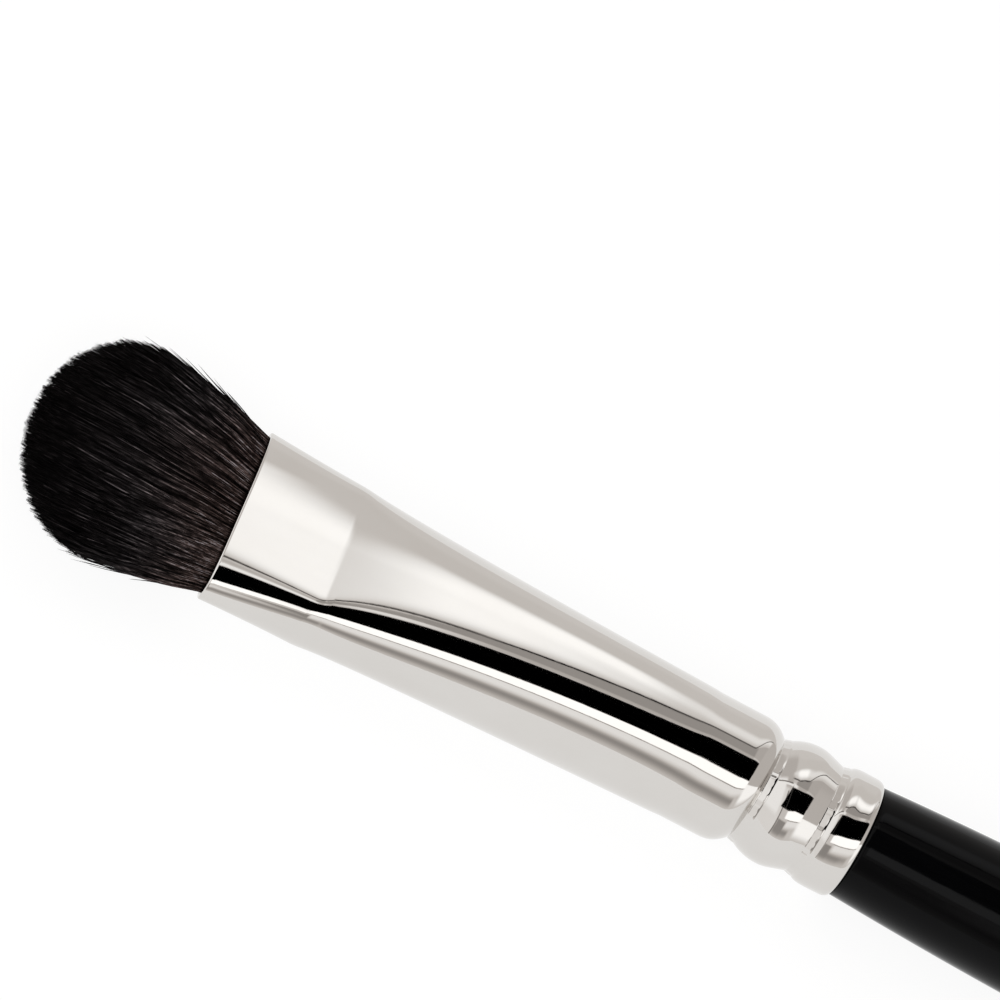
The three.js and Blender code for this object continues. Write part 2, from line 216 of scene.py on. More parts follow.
# Materials: colours, and sizes of patterns as (along, across, up)
NICKEL_PALE = (0.672, 0.655, 0.632, 1)
NICKEL_DULL = (0.63, 0.608, 0.58, 1)
NICKEL_TARNISH = (4 * MM, 3 * MM, 3 * MM)
NICKEL_WAVES = (6 * MM, 1.6 * MM, 1.6 * MM)
NICKEL_WAVE_DEPTH = 0.004 * MM
NICKEL_LINES = (5 * MM, 0.05 * MM, 0.05 * MM)
NICKEL_LINE_DEPTH = 0.0001 * MM
NICKEL_ROUGHNESS = (0.03, 0.085)
LACQUER_BLACK = (0.0008, 0.0008, 0.001, 1)
LACQUER_RUBBED = (0.0018, 0.0018, 0.0021, 1)
LACQUER_RUB = (3 * MM, 0.2 * MM, 0.2 * MM)
LACQUER_PEEL = (1.4 * MM, 0.7 * MM, 0.7 * MM)
LACQUER_PEEL_DEPTH = 0.004 * MM
LACQUER_ROUGHNESS = (0.05, 0.14)
LACQUER_SPECULAR = 0.08
HAIR_BROWN = (1, 0.68, 0.61, 1) # hue at the root, before the shade
HAIR_GREY = (1, 0.87, 0.9, 1) # hue towards the tip, and the painted highlight hue of the painted glints and brightest hairs
HAIR_PATCHES = (2.2 * MM, 0.25 * MM, 0.25 * MM)
HAIR_ROUGHNESS = (0.34, 0.55)
# Painted glints: size and gain of the bright stretches painted along the hairs
HAIR_PAINTED_GLINTS = (0.6 * MM, 0.1 * MM, 0.1 * MM)
HAIR_PAINTED_GLINT_GAIN = (0.5, 1.7)
HAIR_SPECULAR = 0.015
INNER_ROUGHNESS_MORE = 0.15
INNER_GRAIN_DEPTH = 0.03 * MM

# Photograph: what sets the camera
PHOTO_SIZE = 1000
PIXELS_PER_METRE = 16.75 / MM
AXIS_SLOPE = math.radians(27.8) # the brush runs down to the right
PITCH = math.radians(-7.5) # hair end nearer the camera
ROLL = math.radians(33) # the flat is turned away from the camera by this much
CENTRE_PLACE = 13.69 * MM # place on the axis that is level with the photo's centre
CENTRE_ABOVE = 8.12 * MM # photo centre above the axis
CAMERA_DISTANCE = 0.9
CAMERA_NEAR_CLIP = 0.01
SENSOR_WIDTH = 36


def lerp(a, b, share):
    return a + (b - a) * share


def smoothstep(low, high, value):
    share = np.clip((value - low) / (high - low), 0, 1)
    return share * share * (3 - 2 * share)


def rounded(profile, s, reach):
    """The profile at s with its corners rounded over reach on both sides."""
    steps = np.linspace(-reach, reach, ROUNDING_STEPS)
    return np.mean([profile(s + step) for step in steps], axis=0)


# Node graphs


class Graph:
    """Short way to add shader nodes and link them."""

    def __init__(self, tree):
        self.tree = tree
        tree.nodes.clear()

    def node(self, kind, inputs=None, **settings):
        made = self.tree.nodes.new(kind)
        for name, value in settings.items():
            setattr(made, name, value)
        for socket, value in (inputs or {}).items():
            self.feed(made.inputs[socket], value)
        return made

    def feed(self, socket, value):
        if isinstance(value, bpy.types.NodeSocket):
            self.tree.links.new(value, socket)
        else:
            socket.default_value = value

    def math(self, operation, *values):
        return self.node("ShaderNodeMath", dict(enumerate(values)), operation=operation).outputs[0]

    def step(self, value, low, high, before=0.0, after=1.0):
        """Smooth change from `before` to `after` as value goes from low to high."""
        inputs = {"Value": value, "From Min": low, "From Max": high, "To Min": before, "To Max": after}
        return self.node("ShaderNodeMapRange", inputs, interpolation_type="SMOOTHSTEP").outputs[0]

    def mix(self, share, a, b):
        inputs = {"Factor": share, "A": a, "B": b}
        return self.node("ShaderNodeMix", inputs, data_type="FLOAT").outputs[0]

    def blend(self, share, a, b):
        made = self.node("ShaderNodeMix", data_type="RGBA")
        sockets = [made.inputs[0], made.inputs[6], made.inputs[7]]
        for socket, value in zip(sockets, [share, a, b]):
            self.feed(socket, value)
        return made.outputs[2]

    def noise(self, vector, detail):
        inputs = {"Vector": vector, "Scale": 1.0, "Detail": detail}
        return self.node("ShaderNodeTexNoise", inputs).outputs["Fac"]

    def stretched(self, size):
        """Object coordinates in units of size: (along, across, up) in metres."""
        coordinates = self.node("ShaderNodeTexCoord").outputs["Object"]
        scale = tuple(1 / length for length in size)
        return self.node("ShaderNodeMapping", {"Vector": coordinates, "Scale": scale}).outputs[0]

    def attribute(self, name):
        return self.node("ShaderNodeAttribute", attribute_name=name).outputs["Fac"]

    def bump(self, height, depth, normal=None):
        inputs = {"Height": height, "Distance": depth, "Strength": 1.0}
        if normal:
            inputs["Normal"] = normal
        return self.node("ShaderNodeBump", inputs).outputs[0]

    def surface(self, shader, output="ShaderNodeOutputMaterial"):
        self.node(output, {"Surface": shader.outputs[0]})


def new_material(name):
    material = bpy.data.materials.new(name)
    material.use_nodes = True
    return material, Graph(material.node_tree)


def nickel_material():
    """Bright nickel plate: soft waviness from drawing, lengthwise polishing lines, faint tarnish."""
    material, graph = new_material("bright_nickel")
    waves = graph.noise(graph.stretched(NICKEL_WAVES), detail=1.0)
    lines = graph.noise(graph.stretched(NICKEL_LINES), detail=2.0)
    tarnish = graph.noise(graph.stretched(NICKEL_TARNISH), detail=4.0)
    colour = graph.blend(tarnish, NICKEL_PALE, NICKEL_DULL)
    roughness = graph.step(lines, 0.35, 0.8, *NICKEL_ROUGHNESS)
    normal = graph.bump(waves, NICKEL_WAVE_DEPTH)
    normal = graph.bump(lines, NICKEL_LINE_DEPTH, normal)
    inputs = {"Base Color": colour, "Metallic": 1.0, "Roughness": roughness, "Normal": normal}
    graph.surface(graph.node("ShaderNodeBsdfPrincipled", inputs))
    return material


def lacquer_material():
    """Gloss black lacquer with a little orange peel and fine wear in its gloss."""
    material, graph = new_material("black_lacquer")
    peel = graph.noise(graph.stretched(LACQUER_PEEL), detail=2.0)
    rub = graph.noise(graph.stretched(LACQUER_RUB), detail=3.0)
    inputs = {
        "Base Color": graph.blend(rub, LACQUER_BLACK, LACQUER_RUBBED),
        "Roughness": graph.step(rub, 0.3, 0.8, *LACQUER_ROUGHNESS),
        "Specular IOR Level": LACQUER_SPECULAR,
        "Normal": graph.bump(peel, LACQUER_PEEL_DEPTH),
    }
    graph.surface(graph.node("ShaderNodeBsdfPrincipled", inputs))
    return material


def hair_material():
    """Natural hair: brown at the root, black towards the tip, each hair with its own depth of colour; the
    base colour also carries painted glints, painted highlight streaks, painted light on the -Y roots and a
    painted shadow at the mouth.
    """
    material, graph = new_material("brush_hair")
    patches = graph.noise(graph.stretched(HAIR_PATCHES), detail=3.0)
    # Painted highlights: noise brightens short stretches of each hair's base colour, and the brightest
    # hairs turn grey like a highlight.
    painted_glints = graph.noise(graph.stretched(HAIR_PAINTED_GLINTS), detail=2.0)
    painted_glint_gain = graph.step(painted_glints, 0.38, 0.68, *HAIR_PAINTED_GLINT_GAIN)
    shade = graph.math("MULTIPLY", graph.attribute("shade"), painted_glint_gain)
    near_tip = graph.step(graph.attribute("along"), 0.0, 0.7)
    painted_glint_hue_share = graph.step(shade, 0.06, 0.25)
    hue = graph.blend(graph.math("MAXIMUM", near_tip, painted_glint_hue_share), HAIR_BROWN, HAIR_GREY)
    scaled = graph.node("ShaderNodeVectorMath", {"Vector": hue, "Scale": shade}, operation="SCALE")
    inputs = {
        "Base Color": scaled.outputs[0],
        "Roughness": graph.step(patches, 0.3, 0.7, *HAIR_ROUGHNESS),
        "Specular IOR Level": HAIR_SPECULAR,
    }
    graph.surface(graph.node("ShaderNodeBsdfPrincipled", inputs))
    return material


def inner_material(name, pale, dark, grain, roughness):
    """Thread, resin and glue inside the ferrule: a base colour broken up by its own grain."""
    material, graph = new_material(name)
    pattern = graph.noise(graph.stretched(grain), detail=4.0)
    inputs = {
        "Base Color": graph.blend(pattern, pale, dark),
        "Roughness": graph.step(pattern, 0.2, 0.8, roughness, roughness + INNER_ROUGHNESS_MORE),
        "Normal": graph.bump(pattern, INNER_GRAIN_DEPTH),
    }
    graph.surface(graph.node("ShaderNodeBsdfPrincipled", inputs))
    return material


# Meshes


def add_mesh(name, points, faces, material):
    mesh = bpy.data.meshes.new(name)
    mesh.from_pydata(points.tolist(), [], faces)
    mesh.shade_smooth()
    mesh.materials.append(material)
    made = bpy.data.objects.new(name, mesh)
    bpy.context.scene.collection.objects.link(made)
    return made


def ring_faces(rings, sides, closed):
    """Quads between rings of points that run one after another, in a loop if closed."""
    near = np.arange(rings if closed else rings - 1)[:, None]
    far = (near + 1) % rings
    side = np.arange(sides)[None, :]
    after = (side + 1) % sides
    corners = [near * sides + side, near * sides + after, far * sides + after, far * sides + side]
    return np.stack(corners, axis=-1).reshape(-1, 4)


def dense(*stretches):
    """Places along the brush: each stretch is (from, to, steps), and starts where the last one ended."""
    runs = [np.linspace(start, end, steps, endpoint=False) for start, end, steps in stretches]
    return np.concatenate(runs + [[stretches[-1][1]]])


# Ferrule


def taper_left(s):
    return np.clip((TAPER_END - s) / (TAPER_END - CREASE_PLACE), 0, 1)


def pressed(s, mouth, crease, past_crease):
    """A half size that is straight from mouth to crease."""
    return np.where(s < CREASE_PLACE, lerp(mouth, crease, s / CREASE_PLACE), past_crease)


def half_width(s):
    taper = lerp(TUBE_RADIUS, CREASE_HALF_WIDTH, taper_left(s) ** WIDTH_EASE)
    return pressed(s, MOUTH_HALF_WIDTH, CREASE_HALF_WIDTH, taper)


def half_flat(s):
    left = taper_left(s)
    taper = CREASE_HALF_FLAT * left / lerp(FLAT_FALL, 1, left)
    return pressed(s, MOUTH_HALF_FLAT, CREASE_HALF_FLAT, taper)


def half_thickness(s):
    taper = lerp(TUBE_RADIUS, CREASE_HALF_THICKNESS, taper_left(s) ** THICKNESS_EASE)
    return pressed(s, MOUTH_HALF_THICKNESS, CREASE_HALF_THICKNESS, taper)


def crimp_depth(s):
    """How far the round end lies below the tube: shoulder, groove, bead, groove and collar."""

    def bow(crest, edge, crest_depth, edge_depth, power):
        return lerp(crest_depth, edge_depth, np.abs((s - crest) / (edge - crest)) ** power)

    def floor(ends, depths):
        return lerp(*depths, np.clip((s - ends[0]) / (ends[1] - ends[0]), 0, 1))

    shoulder = bow(SHOULDER_START, FIRST_FLOOR[0], 0, FIRST_FLOOR_DEPTHS[0], SHOULDER_POWER)
    bead_start = FIRST_FLOOR[1] + LEDGE
    bead_front = bow(BEAD_CREST, bead_start, BEAD_DEPTH, FIRST_FLOOR_DEPTHS[1], BEAD_FRONT_POWER)
    past = np.maximum(s - BEAD_CREST, 0)
    bend = np.minimum(past, BEAD_BACK_BEND)
    bead_back = BEAD_DEPTH + BEAD_BACK_SLOPE * (past - bend + bend * bend / (2 * BEAD_BACK_BEND))
    collar_start = SECOND_FLOOR[1] + LEDGE
    collar = bow(COLLAR_CREST, collar_start, COLLAR_DEPTH, SECOND_FLOOR_DEPTHS[1], COLLAR_POWER)
    roll = bow(COLLAR_CREST, FERRULE_LENGTH, COLLAR_DEPTH, END_DEPTH, END_POWER)
    stretches = [
        (SHOULDER_START, 0),
        (FIRST_FLOOR[0], shoulder),
        (bead_start, floor(FIRST_FLOOR, FIRST_FLOOR_DEPTHS)),
        (BEAD_CREST, bead_front),
        (SECOND_FLOOR[0], bead_back),
        (collar_start, floor(SECOND_FLOOR, SECOND_FLOOR_DEPTHS)),
        (COLLAR_CREST, collar),
    ]
    return np.select([s <= end for end, depth in stretches], [depth for end, depth in stretches], roll)


def crimp_notches(s, turn):
    """Small marks that the crimping wheel leaves in the floors of the two grooves."""
    marks = sum(np.sin(count * turn + drift * np.sin(waves * turn)) for count, waves, drift in NOTCH_WAVES)
    soft = 2 * GROOVE_ROUNDING
    floors = [
        smoothstep(start - soft, start + soft, s) * (1 - smoothstep(end - soft, end, s))
        for start, end in (FIRST_FLOOR, SECOND_FLOOR)
    ]
    return NOTCH_DEPTH * marks * sum(floors)


def out_of_round(s, turn):
    """How far the bead and the collar lie outside a true circle."""
    start = smoothstep(FIRST_FLOOR[0], BEAD_CREST, s)
    end = smoothstep(COLLAR_CREST - (FERRULE_LENGTH - COLLAR_CREST), FERRULE_LENGTH, s)
    return OVAL * TUBE_RADIUS * np.sin(2 * (turn - OVAL_TURN)) * start * (1 - end)


def ferrule_ring(s, inset=0.0):
    """Points round the ferrule at s, evenly spaced, inset from its outside."""
    turn = np.linspace(0, 2 * np.pi, SECTION_POINTS)
    across = np.cos(turn)
    up = np.sin(turn)
    width = rounded(half_width, s, SIDE_ROUNDING) - inset
    flat = rounded(half_flat, s, FLAT_ROUNDING)
    power = lerp(2, SIDE_POWER, np.sqrt(taper_left(s)))
    flat_share = np.minimum(1, np.abs(across) * SECTION_POINTS)
    y = np.sign(across) * (flat * flat_share + (width - flat) * np.abs(across) ** (2 / power))
    middle = rounded(half_thickness, s + CREASE_SLANT * y, CREASE_ROUNDING)
    side = rounded(half_thickness, s, SIDE_ROUNDING)
    thickness = lerp(side, middle, smoothstep(CREASE_SIDE_START, CREASE_SIDE_END, np.abs(up))) - inset
    z = thickness * up
    length = np.concatenate([[0], np.cumsum(np.hypot(np.diff(y), np.diff(z)))])
    even = np.linspace(0, length[-1], SKIN_POINTS, endpoint=False)
    columns = [np.full(SKIN_POINTS, s), np.interp(even, length, y), np.interp(even, length, z)]
    ring = np.stack(columns, axis=1)
    ring[:, 2] *= 1 - FAR_CROWN * taper_left(s) * (np.maximum(ring[:, 1], 0) / width) ** 2
    if s > TAPER_END:
        askew = CRIMP_SLANT * (1 - smoothstep(SECOND_FLOOR[1], COLLAR_CREST, s))
        place = s - askew * ring[:, 1]
        angle = np.arctan2(ring[:, 2], ring[:, 1])
        depth = rounded(crimp_depth, place, GROOVE_ROUNDING) + crimp_notches(place, angle)
        depth -= out_of_round(place, angle)
        ring[:, 1:] *= (1 - depth / TUBE_RADIUS)[:, None]
    return ring


def ferrule_piece(material):
    outside = dense(
        (EDGE_RADIUS, EDGE_RADIUS + EDGE_RUN, 6),
        (EDGE_RADIUS + EDGE_RUN, CREASE_PLACE - CREASE_RUN, 10),
        (CREASE_PLACE - CREASE_RUN, CREASE_PLACE + CREASE_RUN, 30),
        (CREASE_PLACE + CREASE_RUN, TAPER_END, 50),
        (TAPER_END, SHOULDER_START - GROOVE_LEAD, 4),
        (SHOULDER_START - GROOVE_LEAD, FIRST_FLOOR[0] - GROOVE_LEAD, 20),
        (FIRST_FLOOR[0] - GROOVE_LEAD, FIRST_FLOOR[1] + GROOVE_TRAIL, 50),
        (FIRST_FLOOR[1] + GROOVE_TRAIL, SECOND_FLOOR[0] - GROOVE_LEAD, 40),
        (SECOND_FLOOR[0] - GROOVE_LEAD, SECOND_FLOOR[1] + GROOVE_TRAIL, 50),
        (SECOND_FLOOR[1] + GROOVE_TRAIL, FERRULE_LENGTH - EDGE_RADIUS - EDGE_RUN, 36),
        (FERRULE_LENGTH - EDGE_RADIUS - EDGE_RUN, FERRULE_LENGTH - EDGE_RADIUS, 6),
    )
    arc = np.linspace(0, np.pi / 2, EDGE_STEPS)
    depth = EDGE_RADIUS * (1 - np.sin(arc))
    inset = EDGE_RADIUS * (1 - np.cos(arc))
    edge = list(zip(depth, inset)) + list(zip(depth[::-1], WALL - inset[::-1]))
    rings = [ferrule_ring(s) for s in outside[1:-1]]
    rings += [ferrule_ring(FERRULE_LENGTH - depth, inset) for depth, inset in edge]
    rings += [ferrule_ring(s, WALL) for s in outside[-2:0:-INNER_STRIDE]]
    rings += [ferrule_ring(depth, inset) for depth, inset in edge[::-1]]
    points = np.concatenate(rings) + np.array([MOUTH_X, 0, AXIS_Z])
    faces = ring_faces(len(rings), SKIN_POINTS, closed=True).tolist()
    return add_mesh("ferrule_shell", points, faces, material)


# Handle


def handle_profile():
    """(s, radius) points from the tenon's front to the handle's end."""
    neck = FERRULE_LENGTH + SEAT_GAP
    cap = HANDLE_END - TAIL_CAP_LENGTH
    swell = np.linspace(neck + NECK_ROUNDING, BELLY_PLACE, SWELL_STEPS)
    swell_left = (BELLY_PLACE - swell) / (BELLY_PLACE - neck)
    taper = np.linspace(BELLY_PLACE, cap, TAPER_STEPS)[1:]
    taper_share = (taper - BELLY_PLACE) / (cap - BELLY_PLACE)
    turn = np.linspace(0, np.pi / 2, TAIL_CAP_STEPS)[1:-1]
    tenon = np.linspace(TENON_FRONT + TENON_CHAMFER, neck, TENON_STEPS)
    stretches = [
        ([TENON_FRONT], [TENON_RADIUS - TENON_CHAMFER]),
        (tenon, np.full(TENON_STEPS, TENON_RADIUS)),
        ([neck], [NECK_RADIUS - NECK_ROUNDING]),
        ([neck + NECK_ROUNDING / 3], [NECK_RADIUS - NECK_ROUNDING / 3]),
        (swell, lerp(TUBE_RADIUS, NECK_RADIUS, swell_left**2)),
        (taper, lerp(TUBE_RADIUS, TAIL_RADIUS, taper_share**TAIL_EASE)),
        (cap + TAIL_CAP_LENGTH * np.sin(turn), TAIL_RADIUS * np.cos(turn)),
    ]
    places, radii = zip(*stretches)
    return np.concatenate(places), np.concatenate(radii)


def handle_piece(material):
    s, radius = handle_profile()
    turn = np.linspace(0, 2 * np.pi, HANDLE_SIDES, endpoint=False)
    y = radius[:, None] * np.cos(turn)
    z = radius[:, None] * np.sin(turn)
    x = np.broadcast_to(s[:, None], y.shape)
    points = np.stack([x, y, z], axis=-1).reshape(-1, 3)
    points = np.concatenate([points, [[TENON_FRONT, 0, 0], [HANDLE_END, 0, 0]]])
    faces = ring_faces(len(s), HANDLE_SIDES, closed=False).tolist()
    front, tail = len(points) - 2, len(points) - 1
    last = (len(s) - 1) * HANDLE_SIDES
    for i in range(HANDLE_SIDES):
        after = (i + 1) % HANDLE_SIDES
        faces.append([front, after, i])
        faces.append([tail, last + i, last + after])
    return add_mesh("handle_body", points + np.array([MOUTH_X, 0, AXIS_Z]), faces, material)


# Hair


def hair_section(u, q, width, thickness, flat=0.0, power=2):
    """Place in a section: q is the share of the half thickness, u the share of the half width there."""
    return u * lerp(flat, width, (1 - q**2) ** (1 / power)), q * thickness


def hair_spread(s):
    """How much wider and thicker the tuft is at s than at the mouth."""
    share = 1 - (1 - np.clip(-s / HAIR_WIDEST, 0, 1)) ** HAIR_SPREAD_EASE
    swell = LIP_SWELL * smoothstep(0, LIP_SWELL_RUN, -s) * (1 - share)
    root_width, root_thickness = MOUTH_INSIDE
    wide = lerp(1, HAIR_HALF_WIDTH / root_width, share) + swell / root_width
    thick = lerp(1, HAIR_HALF_THICKNESS / root_thickness, share) + swell / root_thickness
    return wide, thick


def hair_reach(u, q):
    """Length past the mouth of a hair that starts at u, q: the dome of the tuft."""
    lean = (u - TIP_OFFSET) / (1 - TIP_OFFSET * np.sign(u - TIP_OFFSET))
    dome = np.sqrt(np.maximum(0, 1 - lean**2 - TIP_ROUNDING * q**2))
    return lerp(HAIR_WIDEST, HAIR_LENGTH + TIP_EXTRA, dome)


def scatter_roots(rng, layer, count):
    """Even scatter of roots over one layer of the mouth."""
    low = -1 + 2 * layer / len(HAIR_NODES)
    q = rng.uniform(low, low + 2 / len(HAIR_NODES), ROOT_TRIES * count)
    width_here, _ = hair_section(1, q, 1, 1, MOUTH_HALF_FLAT / MOUTH_HALF_WIDTH, SIDE_POWER)
    q = q[rng.uniform(0, 1, len(q)) < width_here][:count]
    return rng.uniform(-1, 1, count), q


def clump_centres(rng, u, q):
    """Centre of the small clump that each hair's tip leans to, and a chance value per clump."""
    cell_u = np.floor((u + 1) / 2 * CLUMPS_ACROSS)
    cell_q = np.floor((q + 1) / 2 * CLUMPS_THROUGH)
    cell = (cell_q * (CLUMPS_ACROSS + 1) + cell_u).astype(int)
    chance = rng.uniform(0, 1, ((CLUMPS_ACROSS + 1) * (CLUMPS_THROUGH + 1), 3))[cell]
    centre_u = 2 * (cell_u + chance[:, 0]) / CLUMPS_ACROSS - 1
    centre_q = 2 * (cell_q + chance[:, 1]) / CLUMPS_THROUGH - 1
    return np.clip(centre_u, -1, 1), np.clip(centre_q, -1, 1), chance[:, 2]


def hair_lines(rng, layer):
    """Middle lines of one layer's hairs, as (hair, step, xyz).

    Also each step's share of the free length, and each root's u.
    """
    count = STRANDS_PER_LAYER
    u, q = scatter_roots(rng, layer, count)
    stray = np.arange(count) < FLYAWAYS_PER_LAYER
    u = np.where(stray, np.sign(u) * rng.uniform(*FLYAWAY_ROOTS, count), u)
    centre_u, centre_q, clump_chance = clump_centres(rng, u, q)
    waist = hair_section(u, q, WAIST_HALF_WIDTH, WAIST_HALF_THICKNESS)
    inside = [
        (HAIR_ROOT_END, waist),
        (WAIST_START, waist),
        (CREASE_PLACE, hair_section(u, q, *CREASE_INSIDE, CREASE_HALF_FLAT, SIDE_POWER)),
    ]
    lines = [np.stack([np.full(count, s), y, z], axis=1) for s, (y, z) in inside]
    shares = [np.zeros(count) for _ in inside]
    uneven = TIP_UNEVENNESS * (clump_chance + rng.uniform(0, 1, count) ** 2) / 2
    reach = hair_reach(centre_u, centre_q) - uneven
    reach *= np.where(stray, rng.uniform(*FLYAWAY_LENGTHS, count), 1)
    phase = rng.uniform(0, 2 * np.pi, (2, count))
    swing = STRAND_WAVE * rng.normal(0, 1, (2, count))
    loose = np.where(stray, FLYAWAY_REACH * rng.uniform(*FLYAWAY_REACHES, count), 0)
    for share in np.linspace(0, 1, STRAND_STEPS) ** STRAND_STEP_EASE:
        s = -reach * share
        wide, thick = hair_spread(s)
        pull = CLUMP_PULL * share**CLUMP_EASE
        place = (lerp(u, centre_u, pull), lerp(q, centre_q, pull))
        y, z = hair_section(*place, *MOUTH_INSIDE, MOUTH_HALF_FLAT, SIDE_POWER)
        wave = swing * share * np.sin(STRAND_WAVE_TURN * share + phase)
        y = y * wide + wave[0] + np.sign(u) * loose * share**2
        y += FAR_FLARE * np.maximum(u, 0) ** FAR_FLARE_POWER * share**2
        z = z * thick + wave[1]
        lines.append(np.stack([s, y, z], axis=1))
        shares.append(np.full(count, share))
    return np.stack(lines, axis=1), np.stack(shares, axis=1), u


def hair_shades(rng, shares, u):
    """Brightness along each hair: darker to the tip, uneven from hair to hair and along each one, with
    painted light on the roots at the -Y edge, painted highlight streaks along the hairs and a painted
    shadow at the mouth.
    """
    count = len(shares)
    own = rng.normal(0, 1, (count, 1))
    pace = rng.uniform(*SHADE_PACES, (count, 1))
    # Drift along each hair: partly uneven tone, partly painted highlight streaks
    drift = np.sqrt(2) * np.sin(2 * np.pi * (pace * shares + rng.uniform(0, 1, (count, 1))))
    spread = lerp(SHADE_SPREAD_ROOT, SHADE_SPREAD_TIP, shares)
    mouth = lerp(MOUTH_SHADE, 1, smoothstep(0, MOUTH_SHADE_RUN, shares))
    # Painted light: roots at the -Y edge are made lighter, as if lit more
    near = 1 + NEAR_SIDE_PAINTED_LIGHT * np.maximum(-u, 0)[:, None] * (1 - shares)
    power = spread * (SHADE_OWN * own + SHADE_DRIFT * drift) - SHADE_FALL * shares
    bright = SHADE * near * np.exp(power)
    return mouth * np.minimum(bright, SHADE_MOST)


def hair_piece(layer, material):
    rng = np.random.default_rng(SEED + layer)
    lines, shares, u = hair_lines(rng, layer)
    count, steps, _ = lines.shape
    belly = STRAND_ROOT + STRAND_BELLY * np.sin(np.pi * shares)
    radius = STRAND_RADIUS * belly * np.sqrt(1 + STRAND_TIP - shares**3)
    radius *= rng.uniform(*STRAND_RADIUS_RANGE, (count, 1))
    turn = 2 * np.pi * (np.arange(STRAND_SIDES) / STRAND_SIDES + rng.uniform(0, 1, (count, 1)))
    round_it = np.stack([np.zeros_like(turn), np.cos(turn), np.sin(turn)], axis=-1)
    points = lines[:, :, None, :] + radius[:, :, None, None] * round_it[:, None, :, :]
    one = ring_faces(steps, STRAND_SIDES, closed=False)[:, ::-1]
    faces = (one[None] + (np.arange(count) * steps * STRAND_SIDES)[:, None, None]).reshape(-1, 4)
    points = points.reshape(-1, 3) + np.array([MOUTH_X, 0, AXIS_Z])
    name = HAIR_NODES[layer].replace("hair_", "hairs_")
    made = add_mesh(name, points, faces.tolist(), material)
    for name, values in [("along", shares), ("shade", hair_shades(rng, shares, u))]:
        attribute = made.data.attributes.new(name, "FLOAT", "POINT")
        per_point = np.repeat(values.reshape(-1), STRAND_SIDES)
        attribute.data.foreach_set("value", per_point.astype(np.float32))
    return made


# Studio

# A card or softbox that the metal mirrors, in degrees. near and far are its edges about the brush's axis,
# counted from the near horizon: place, half softness, and how much the edge leans for each degree along the
# brush. start and end are its edges along the brush, counted from straight across: place and half softness.
# A later card covers the ones before it.
Card = namedtuple("Card", "near far start end level")
CARDS = [
    # Far side of the studio, and what the left end of the bead and of the shoulder mirror
    Card((156, 6, 1.2), (250, 5, 0), (-90, 5), (90, 5), 0.84),
    Card((96, 4, 0), (160, 12, 0), (-90, 5), (-11, 2.5), 0.64),
    Card((-60, 5, 0), (92, 3, 0), (-90, 5), (-14.5, 2), 1.0),
    # Grey near the horizon, and the pale strip above it with its dark lower edge
    Card((7, 9, 0), (22, 6, 0), (-13, 3), (21, 4), 0.38),
    Card((9, 9, 0), (36.5, 2, 0), (-13, 3), (5.5, 1.5), 0.36),
    Card((25, 6, 0.2), (42, 1, 0.5), (7, 2), (70, 20), 1.12),
    Card((40.2, 0.7, 0.1), (42, 0.7, 0.1), (6, 1), (40, 8), 0.4),
    Card((42.3, 0.8, 0.1), (57, 1, 0.45), (-1, 2), (50, 10), 1.6),
    # Black card
    Card((57, 0.9, 0.45), (97.2, 0.7, 0.1), (-9, 2), (38, 2), 0.0),
    Card((61.5, 0.9, 0), (97.2, 0.7, 0.1), (9, 1), (38, 2), 0.0),
    # Grey seam past it
    Card((98, 0.7, 0.1), (104, 2, 0), (-30, 5), (0, 4), 1.2),
    Card((98, 0.7, 0.1), (104, 1.5, 0), (0, 3), (13, 2), 0.62),
    Card((103, 1.2, 0), (112, 1, 0.8), (-4, 1.5), (16, 3), 0.42),
    Card((103, 1.2, 0), (112, 1, 0.8), (14, 3), (70, 15), 0.6),
    # White softboxes overhead, with thin dark lines along their near edge
    Card((118.5, 6, 0.8), (133, 5, 0.8), (-14, 3), (60, 20), 1.1),
    Card((118.5, 6, 0.8), (133, 5, 0.8), (-5.5, 3), (7, 1.5), 1.5),
    Card((111, 0.6, 0), (113.4, 0.8, 0), (-12, 3), (0, 1), 0.1),
    Card((111, 0.4, 0.8), (113, 0.6, 0.8), (0, 1), (9, 1.5), 0.0),
    Card((103.6, 0.6, 1.6), (106.2, 0.8, 1.6), (8, 1.5), (40, 6), 0.1),
    # Right end: a grey panel and a bright one below it
    Card((54, 2, 0), (104.6, 2, 1.6), (38, 2), (90, 5), 0.66),
    Card((10, 12, 0), (54, 2, 0), (36, 6), (90, 5), 1.4),
    # Left end: bright panels, thin dark lines, and the black card's pointed end
    Card((40, 8, 0), (110, 6, 0), (-90, 5), (-23, 3), 1.2),
    Card((100, 8, 0), (165, 8, 0), (-90, 5), (-45, 8), 1.5),
    Card((102, 0.8, 0), (104.6, 0.8, 0), (-70, 5), (-10, 2), 0.2),
    Card((-40, 5, 0), (88, 3, 0), (-16, 0.8), (-13.6, 0.8), 0.25),
    Card((57, 1, 0), (129.6, 3, 3.6), (-21, 1), (-8, 1), 0.0),
]
STUDIO_LEVEL = 0.8
WHITE = (1, 1, 1, 1)
WARM = (1, 0.945, 0.905, 1) # what is dimmer than a softbox is a little warm
WARM_LEVEL = 0.5
WHITE_LEVEL = 1.3
FLOOR_SIZE = 3
FLOOR_DULL = (0.79, 0.79, 0.79, 1)
FLOOR_PALE = (0.81, 0.81, 0.81, 1)
FLOOR_GRAIN = (2 * MM, 2 * MM, 2 * MM)
FLOOR_SHADED = (0.15, 0.15, 0.15, 1) # part of the floor's white that takes the shadow
FLOOR_GLOW = 0.88 # the rest of its white
KEY_POWER = 4
KEY_SIZE = 0.8
KEY_PLACE = Vector((-0.25, -0.8, 0.75))


